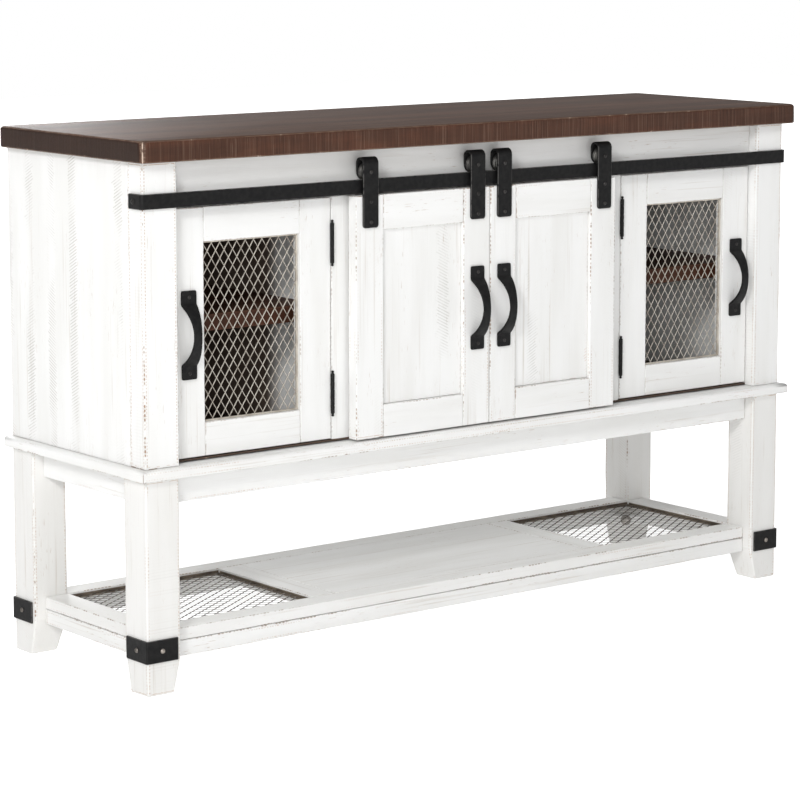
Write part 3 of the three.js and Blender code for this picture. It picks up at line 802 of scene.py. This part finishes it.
def bracket(node):
    """A bent steel angle with a domed screw in each arm."""
    low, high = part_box(node)
    t = BRACKET_THICKNESS
    head = 3 * MM
    sx = math.copysign(1, low.x + high.x)
    sy = math.copysign(1, low.y + high.y)
    corner = Vector((high.x if sx > 0 else low.x, high.y if sy > 0 else low.y, 0))
    corner -= Vector((sx * head, sy * head, 0))  # the heads stand outside the steel
    arm = high.x - low.x - head
    bend = 3.5 * MM
    tip = 0.6 * MM
    middle = (low.z + high.z) / 2
    inner = t / 2
    path = [(corner.x - sx * (arm - s), corner.y - sy * inner) for s in (0, tip)]
    for i in range(5):
        a = i / 4 * math.pi / 2
        reach = bend - inner
        path.append((corner.x - sx * (bend - reach * math.sin(a)),
                     corner.y - sy * (bend - reach * math.cos(a))))
    path += [(corner.x - sx * inner, corner.y - sy * (arm - s)) for s in (tip, 0)]
    points = [(x, y, middle) for x, y in path]
    height = high.z - low.z
    widths = [height - 2 * tip] + [height] * (len(points) - 2) + [height - 2 * tip]
    piece(node + "_angle", ribbon(points, widths, t, (0, 0, 1), tip), IRON, node)
    heads = [
        (screw_head(4.6 * MM, head), at(corner.x - sx * arm / 2, corner.y, middle) @ FACING[0, sy]),
        (screw_head(4.6 * MM, head), at(corner.x, corner.y - sy * arm / 2, middle) @ FACING[sx, 0]),
    ]
    piece(node + "_screws", merge(*heads), BRACKET_SCREWS, node, smooth=True)


def low_shelf():
    """Two boards for each rail of the shelf, a middle field between its two end boards,
    and an expanded-metal grille in each bay."""
    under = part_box("low_shelf_panel")[0].z
    for side, k in (("front", 1), ("back", 1), ("left", 0), ("right", 0)):
        node = f"shelf_rail_{side}"
        low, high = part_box(node)
        grain = "yx"[k]
        upper = board((low.x, low.y, under), high, grain, seed=len(side))
        piece(node + "_top", upper, PAINT, node, grain, wear=0.9, tone=0.06)
        a, b = list(low), [high.x, high.y, under - 2 * SEAM]
        if side in ("front", "left"):
            b[k] = a[k] + BOARD
        else:
            a[k] = b[k] - BOARD
        piece(node + "_apron", board(a, b, grain, seed=3 + len(side)), PAINT, node, grain, wear=0.9)
    low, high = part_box("low_shelf_panel")
    left, right = low.x + 53 * MM, high.x - 53 * MM  # the inner sides of the end boards
    for name, x0, x1 in (("left", low.x, left), ("right", right, high.x)):
        body = board((x0, low.y, low.z), (x1, high.y, high.z), "y", seed=7)
        piece(f"cross_rail_{name}", body, PAINT, "low_shelf_panel", "y", wear=0.8)
    body = board((left + SEAM, low.y, low.z), (right - SEAM, high.y, high.z), "x", MM)
    piece("low_shelf_field", body, PAINT, "low_shelf_panel", "x", wear=0.2, bands=0.12)
    for side in ("left", "right"):
        grille(f"grille_{side}")
    corner_blocks(under)


def corner_blocks(under):
    """A block with a bolt inside each corner of the shelf frame."""
    for row, sy in (("front", -1), ("back", 1)):
        for column, sx in (("left", -1), ("right", 1)):
            node = f"leg_{row}_{column}"
            low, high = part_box(node)
            x = low.x if sx > 0 else high.x
            y = low.y if sy > 0 else high.y
            arm, height = 52 * MM, 22 * MM
            outline = [(x, y), (x - sx * arm, y), (x, y - sy * arm)]
            body = extrude(outline, height, 1.5 * MM)
            body.transform(at(0, 0, under - height - 2 * MM))
            piece(f"corner_block_{row}_{column}", body, PAINT, node, wear=0.5)
            washer = 1.6 * MM
            bolt = merge(rod(11 * MM, washer, 28), (hex_head(7.5 * MM, 5 * MM), at(0, 0, washer)))
            spot = at(x - sx * arm / 2, y - sy * arm / 2, under - height / 2 - 2 * MM)
            facing = Vector((-sx, -sy, 0)).to_track_quat("Z", "Y").to_matrix().to_4x4()
            bolt.transform(spot @ facing)
            piece(f"corner_bolt_{row}_{column}", bolt, BOLT_STEEL, node)


# ---- expanded metal

def bar(bm, start, end, width, thickness, tilt):
    """One flat strand from start to end in the XY plane, turned about its own length."""
    ahead = (end - start).normalized()
    side = Vector((-ahead.y, ahead.x, 0))
    up = Vector((0, 0, 1))
    lean = Matrix.Rotation(math.radians(tilt), 3, ahead)
    side, up = lean @ side * width / 2, lean @ up * thickness / 2
    corners = ((-1, -1), (1, -1), (1, 1), (-1, 1))
    skin(bm, [[p + side * a + up * b for a, b in corners] for p in (start, end)])


def expanded(short, long, strand, thickness, tilt):
    """Expanded metal in the XY plane: diamonds with their short way along X and long way along Y,
    clipped to a rectangle. Every strand is a row of short flat bars, one to each side of a diamond,
    with a small lozenge where the strands meet."""
    bm = bmesh.new()
    half_x, half_y = short / 2, long / 2
    step = Vector((CELL_SHORT / 2, CELL_LONG / 2, 0))
    columns = int(short / CELL_SHORT) + 2
    rows = int(long / CELL_LONG) + 2
    for lean in (1, -1):
        ahead = Vector((step.x, lean * step.y, 0))
        for i in range(-2 * columns, 2 * columns):
            for j in range(-2 * rows, 2 * rows):
                if (i + j) % 2:
                    continue
                start = Vector((i * step.x, j * step.y, 0))
                ends = clip(start, start + ahead, half_x, half_y)
                if ends:
                    wide = strand if lean > 0 else strand * 0.55
                    bar(bm, *ends, wide, thickness, lean * tilt)
                if lean > 0 and abs(start.x) < half_x - strand and abs(start.y) < half_y - strand:
                    knot(bm, start, strand, thickness)
    return bm


def knot(bm, centre, strand, thickness):
    """The small lozenge where four strands meet."""
    a, b, half = strand * 0.4, strand * 0.9, thickness * 0.75
    corners = ((a, 0), (0, b), (-a, 0), (0, -b))
    skin(bm, [[centre + Vector((x, y, z)) for x, y in corners] for z in (-half, half)])


def clip(start, end, half_x, half_y):
    """The part of a segment that lies inside a rectangle about the origin, or nothing."""
    low, high = 0.0, 1.0
    way = end - start
    for k, limit in ((0, half_x), (1, half_y)):
        if abs(way[k]) < 1e-9:
            continue
        first, second = sorted(((-limit - start[k]) / way[k], (limit - start[k]) / way[k]))
        low, high = max(low, first), min(high, second)
    if high - low < 0.05:  # too short a stub to be worth a strand
        return None
    return start + way * low, start + way * high


def grille(node):
    """The shelf's grille: an angle frame and heavy expanded metal, its long way along X."""
    low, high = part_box(node)
    middle = (low + high) / 2
    size = high - low
    rim, flat, upright = 9 * MM, 2.5 * MM, 2 * MM
    legs = ((rim, low.z + flat, 0.5 * MM), (upright, high.z + flat, 0.4 * MM))
    parts = [
        board(a, b, grain, radius, wobble=0)
        for width, top, radius in legs
        for a, b, grain in border(low, (high.x, high.y, top), "y", width, rim)
    ]
    piece(node + "_frame", merge(*parts), GRILLE_METAL, node, "x")
    sheet = expanded(size.y - rim, size.x - rim, 2.5 * MM, 0.8 * MM, 10)
    mirror = Matrix.Scale(-1, 4, (1, 0, 0))
    sheet.transform(at(middle.x, middle.y, low.z + 3.6 * MM) @ turn(-90, "z") @ mirror)
    piece(node + "_mesh", sheet, GRILLE_STRANDS, node, "x")


# ---- hardware

def arc(centre, radius, start, end, count):
    """Points of an arc in a plane, from start to end degrees."""
    for i in range(count + 1):
        a = math.radians(start + (end - start) * i / count)
        yield centre[0] + radius * math.cos(a), centre[1] + radius * math.sin(a)


def handle(node):
    """A forged bow between two pads, narrow in the middle, with a screw in each pad."""
    low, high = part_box(node)
    middle = (low + high) / 2
    t = HANDLE_STRAP
    pad_y = high.y - t / 2
    end = (high.z - low.z) / 2
    foot = end - HANDLE_PAD
    wide = high.x - low.x
    bow = high.y - low.y - t
    radius = (foot * foot + bow * bow) / (2 * bow)
    lean = math.degrees(math.asin(foot / radius))
    pad = [(0, 5), (0.5, 2.5), (2, 0.8), (4, 0), (HANDLE_PAD / MM - 3, 0)]  # way in, narrowing
    pad = [(pad_y, -end + s * MM, wide - less * MM) for s, less in pad]
    rows = pad + [
        (y, z, HANDLE_WAIST + (wide - HANDLE_WAIST) * (z / foot) ** 2)
        for y, z in arc((pad_y - bow + radius, 0), radius, 180 + lean, 180 - lean, 22)
    ]
    rows += [(y, -z, width) for y, z, width in reversed(pad)]
    points = [(middle.x, y, middle.z + z) for y, z, _ in rows]
    bow_bar = ribbon(points, [width for _, _, width in rows], t, (1, 0, 0), 1.1 * MM)
    for v in bow_bar.verts:
        v.co += noise.noise_vector(v.co * 190) * 0.25 * MM
    made = piece(node + "_bow", bow_bar, IRON, node, smooth=True)
    rounding = made.modifiers.new("rounding", "SUBSURF")
    rounding.levels = rounding.render_levels = 1
    screw = end - HANDLE_PAD * 0.45
    heads = [(screw_head(3.6 * MM, 1.4 * MM), at(middle.x, high.y - t, middle.z + z) @ TO_FRONT)
             for z in (-screw, screw)]
    piece(node + "_screws", merge(*heads), SCREW_IRON, node, smooth=True)


def hanger(node):
    """A strap that hooks over its roller, with an axle, its nut and three domed heads."""
    low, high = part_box(node)
    outer, mid = LOOP + STRAP, LOOP + STRAP / 2
    x, y = (low.x + high.x) / 2, high.y - outer  # the middle of the roller
    crown = high.z - outer
    hook = low.z + 84 * MM
    w = HANGER_WIDTH
    tip = ((0, 9), (0.8, 4.6), (2.4, 1.8), (5, 0))  # way up the strap, narrowing
    rows = [(y - mid, low.z + s * MM, w - less * MM) for s, less in tip]
    rows += [(y - mid, low.z + (crown - low.z) * s, w) for s in (0.25, 0.5, 0.75)]
    rows += [(py, pz, w) for py, pz in arc((y, crown), mid, 180, 0, 12)]
    rows += [
        (y + mid, hook + w / 2 * (1 - math.sin(t)), max(2 * MM, w * math.cos(t)))
        for t in (i * math.pi / 12 for i in range(7))
    ]
    points = [(x, py, pz) for py, pz, _ in rows]
    strap = ribbon(points, [width for _, _, width in rows], STRAP, (1, 0, 0), 0.8 * MM)
    piece(node + "_strap", strap, IRON, node)
    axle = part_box(node.replace("hanger", "roller"))
    axle_z = (axle[0].z + axle[1].z) / 2
    play = 0.5 * MM
    parts = [
        (rod(4 * MM, 2 * (outer - play), 20), at(x, y + outer - play, axle_z) @ TO_FRONT),
        *((screw_head(3.8 * MM, 2.2 * MM), at(x, y - outer, axle_z - down) @ TO_FRONT)
          for down in (0, 53 * MM, 90 * MM)),
        (hex_head(6 * MM, 3 * MM), at(x, y + outer, axle_z) @ FACING[0, 1]),
    ]
    piece(node + "_bolts", merge(*parts), SCREW_IRON, node)


def roller(node):
    """A grooved wheel with a raised hub on each face."""
    low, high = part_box(node)
    middle = (low + high) / 2
    r = (high.z - low.z) / 2
    w = (high.y - low.y) / 2
    bore, groove = 4.4 * MM, 12.9 * MM
    hub = ((7.5, 0), (8, 0.6), (9.5, 1.4), (13.5, 1.2))  # radius, and depth from the face
    rim = ((1.6, 0.2), (0.6, 0.3), (0, 1))  # distance from the rim, and depth
    profile = [(bore, -w)] + [(radius * MM, depth * MM - w) for radius, depth in hub]
    profile += [(r - inset * MM, depth * MM - w) for inset, depth in rim]
    profile += [(r, -4 * MM), (r - 0.6 * MM, -3.5 * MM), (groove, -3.1 * MM)]
    profile += [(radius, -z) for radius, z in reversed(profile)]
    wheel = lathe(profile, 48)
    bmesh.ops.bridge_loops(wheel, edges=[e for e in wheel.edges if e.is_boundary])
    wheel.transform(at(*middle) @ TO_FRONT)
    piece(node + "_wheel", wheel, ROLLER_STEEL, node, "y", smooth=True)


def track():
    """The flat bar with its rounded bends, three spacers behind it and a screw at each end."""
    low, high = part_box("track")
    head = 2.5 * MM
    t = TRACK_THICKNESS
    x1 = high.x - head - t / 2
    y0 = low.y + t / 2
    end = low.y + t + 35.3 * MM  # the ends reach back to the case
    middle = (low.z + high.z) / 2
    height = high.z - low.z
    bend = 4 * MM
    right = [(x1, end - s) for s in (0, 0.6 * MM, 2 * MM)]
    right += arc((x1 - bend, y0 + bend), bend, 0, -90, 6)
    widths = [height - 4 * MM, height - 1.6 * MM] + [height] * 8
    points = [(-x, y, middle) for x, y in right] + [(x, y, middle) for x, y in reversed(right)]
    flat = ribbon(points, widths + widths[::-1], t, (0, 0, 1), 0.7 * MM)
    piece("track_bar", flat, IRON, "track", "x")
    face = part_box("header")[0].y
    spacer, spacing = face - low.y - t, 350 * MM
    parts = [(rod(6 * MM, spacer, 24), at(x, face, middle) @ TO_FRONT)
             for x in (-spacing, 0.0, spacing)]
    for sx in (-1, 1):
        spot = at(sx * (x1 + t / 2), end - 14 * MM, middle) @ FACING[sx, 0]
        parts.append((screw_head(5 * MM, head), spot))
    piece("track_fixings", merge(*parts), SCREW_IRON, "track", "x")


def hinge(node):
    """A butt hinge: a barrel of five knuckles with turned tips, and its leaf in the gap."""
    low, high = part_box(node)
    r = (high.x - low.x) / 2
    x = (low.x + high.x) / 2
    y = low.y + r
    half = (high.z - low.z) / 2
    middle = (high.z + low.z) / 2
    tip = ((0, 0), (2.2, 0.8), (2.7, 2.6), (1.8, 4.6), (2.6, 5.4))  # radius, and way in
    tip = [(radius * MM, s * MM - half) for radius, s in tip]
    profile = list(tip)
    body = half - 6 * MM
    knuckles = 5
    pitch = 2 * body / knuckles
    groove, shut, shoulder = r - 0.5 * MM, 0.1 * MM, 0.6 * MM
    for i in range(knuckles):
        start = i * pitch - body
        end = start + pitch
        profile += [(groove, start + shut), (r, start + shoulder)]
        profile += [(r, end - shoulder), (groove, end - shut)]
    profile += [(radius, -z) for radius, z in reversed(tip)]
    thick, short = 0.4 * MM, half - 10 * MM  # half of the leaf's thickness and height
    leaf = board((x - thick, y + 2 * MM, middle - short),
                 (x + thick, y + 18 * MM, middle + short), "z", 0.2 * MM, wobble=0)
    whole = merge((lathe(profile, 20), at(x, y, middle)), leaf)
    piece(node + "_barrel", whole, IRON, node)


# ---- doors

def frame_boards(node, low, high, stile, rail_low, rail_high, wear):
    """Two stiles with two rails between them."""
    for name, x0, x1 in (("left", low.x, low.x + stile), ("right", high.x - stile, high.x)):
        body = board((x0, low.y, low.z), (x1, high.y, high.z), "z", 1.4 * MM, seed=len(name))
        piece(f"{node}_stile_{name}", body, PAINT, node, wear=wear, bands=0.1)
    gap = 1.4 * SEAM
    x0, x1 = low.x + stile + gap, high.x - stile - gap
    for name, z0, z1 in (("bottom", low.z, rail_low), ("top", rail_high, high.z)):
        body = board((x0, low.y, z0), (x1, high.y, z1), "x", 1.2 * MM, seed=len(name))
        piece(f"{node}_rail_{name}", body, PAINT, node, "x", wear=wear * 0.8)


def barn_door(side):
    """A sliding door with a sunk panel, its handle, and two hangers with their rollers."""
    node = f"barn_door_{side}"
    low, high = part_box(node)
    stile, rail_low, rail_high = 62 * MM, low.z + 59 * MM, high.z - 63 * MM
    frame_boards(node, low, high, stile, rail_low, rail_high, 1.0)
    a = (low.x + stile + SEAM, low.y + 8 * MM, rail_low + SEAM)
    b = (high.x - stile - SEAM, high.y - 5 * MM, rail_high - SEAM)
    panel = board(a, b, "z", 0.5 * MM, wobble=0.1 * MM)
    piece(f"{node}_panel", panel, PAINT, node, wear=0.5, bands=0.8)
    handle(f"barn_handle_{side}")
    for end in ("a", "b"):
        hanger(f"hanger_{side}_{end}")
        roller(f"roller_{side}_{end}")


def mesh_door(side):
    """A hinged door with expanded metal held by a thin bead, its handle and its two hinges."""
    node = f"mesh_door_{side}"
    low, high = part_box(node)
    hole_low, hole_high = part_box(f"mesh_{side}")
    stile = hole_low.x - low.x - 0.3 * MM
    frame_boards(node, low, high, stile, hole_low.z, hole_high.z, 0.55)
    bead = 3 * MM
    proud = Vector((0, 1.5 * MM, 0))
    beads = [board(a, b, grain, 0.6 * MM, wobble=0)
             for a, b, grain in border(hole_low - proud, hole_high + proud, "z", bead, bead)]
    piece(f"mesh_{side}_bead", merge(*beads), MESH_METAL, f"mesh_{side}")
    middle = (hole_low + hole_high) / 2
    size = hole_high - hole_low
    sheet = expanded(size.x - bead, size.z - bead, 2.3 * MM, 0.8 * MM, 22)
    sheet.transform(at(*middle) @ TO_FRONT)
    woven = piece(f"mesh_{side}_sheet", sheet, MESH_METAL, f"mesh_{side}")
    woven.visible_shadow = False  # so that the light reaches into the compartments
    handle(f"mesh_handle_{side}")
    for end in ("a", "b"):
        hinge(f"hinge_{side}_{end}")


def shelf_pegs():
    """Four steel pegs under each case shelf."""
    radius, length, sunk, set_in = 3 * MM, 9 * MM, 1 * MM, 45 * MM
    walls = {"left": "side_panel_left", "centre": "partition_left", "right": "side_panel_right"}
    for side, wall in walls.items():
        low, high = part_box(f"shelf_{side}")
        z = low.z - radius - 0.2 * MM
        pegs = [
            (rod(radius, length, 16), at(x - sx * sunk, y, z) @ FACING[sx, 0])
            for x, sx in ((low.x, 1), (high.x, -1))
            for y in (low.y + set_in, high.y - set_in)
        ]
        piece(f"shelf_pegs_{side}", merge(*pegs), BOLT_STEEL, wall, "x")


# ---- studio

def studio():
    """A white room on a bare white background, lit from the front left and softly from behind."""
    world = bpy.data.worlds.new("studio")
    bpy.context.scene.world = world
    world.use_nodes = True
    tree = world.node_tree
    seen = tree.nodes.new("ShaderNodeLightPath").outputs["Is Camera Ray"]
    level = tree.nodes.new("ShaderNodeMapRange")
    level.inputs["To Min"].default_value = 0.37  # the light it gives; where it's seen it is 1
    tree.links.new(seen, level.inputs["Value"])
    background = tree.nodes["Background"]
    background.inputs["Color"].default_value = rgb(1.0, 1.0, 1.0)
    tree.links.new(level.outputs[0], background.inputs["Strength"])
    area_light("key", (-4.9, -3.4, 3.4), (0.0, 0.0, 0.5), 1.2, 156)
    area_light("fill", (-3.4, -4.5, 1.6), (0.0, 0.0, 0.4), 1.6, 58)
    area_light("back", (1.2, 5.0, 1.5), (0.0, 0.0, 0.2), 2.0, 110)
    area_light("overhead", (-1.0, -0.6, 3.4), (0.0, 0.0, 0.2), 2.6, 20)
    reach = 14
    mesh = bpy.data.meshes.new("floor")
    corners = [(-reach, -reach, 0), (reach, -reach, 0), (reach, reach, 0), (-reach, reach, 0)]
    mesh.from_pydata(corners, [], [(0, 1, 2, 3)])
    mesh.materials.append(floor_paint())
    floor = link("floor", mesh)
    floor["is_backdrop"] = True
    bpy.context.scene.view_settings.view_transform = "Standard"


def area_light(name, place, target, size, power):
    """A square lamp that faces its target. The size is in metres and the power in watts."""
    data = bpy.data.lights.new(name, "AREA")
    data.size = size
    data.energy = power
    light = link(name, data)
    light.location = place
    light.rotation_mode = "QUATERNION"
    light.rotation_quaternion = (Vector(target) - Vector(place)).to_track_quat("-Z", "Y")


def camera():
    """The viewer stands left of the front, a little above the top, with a long lens."""
    data = bpy.data.cameras.new("camera")
    data.lens = 133.0
    data.shift_y = -0.1
    eye = link("camera", data)
    eye.location = (-3.502, -4.3725, 1.350)
    yaw, pitch = math.radians(38.28), math.radians(7.91)  # to the right, and down
    eye.rotation_euler = (math.pi / 2 - pitch, 0, -yaw)
    bpy.context.scene.camera = eye


# ---- assembly

camera()
studio()
top_slab()
case()
ledge_bar("ledge_front", "y-", (True, True))
ledge_bar("ledge_left", "x-", (True, False))
ledge_bar("ledge_right", "x+", (True, False))
for row in ("front", "back"):
    for column in ("left", "right"):
        leg(f"leg_{row}_{column}")
        bracket(f"bracket_{row}_{column}")
for side, grain in (("front", "x"), ("back", "x"), ("left", "y"), ("right", "y")):
    timber(f"apron_{side}", grain, wear=0.9)
low_shelf()
track()
for side in ("left", "right"):
    barn_door(side)
    mesh_door(side)
shelf_pegs()

boxes = {"cad": CAD_BOX, "visual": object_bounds()}
{key: [list(corner) for corner in box] for key, box in boxes.items()}
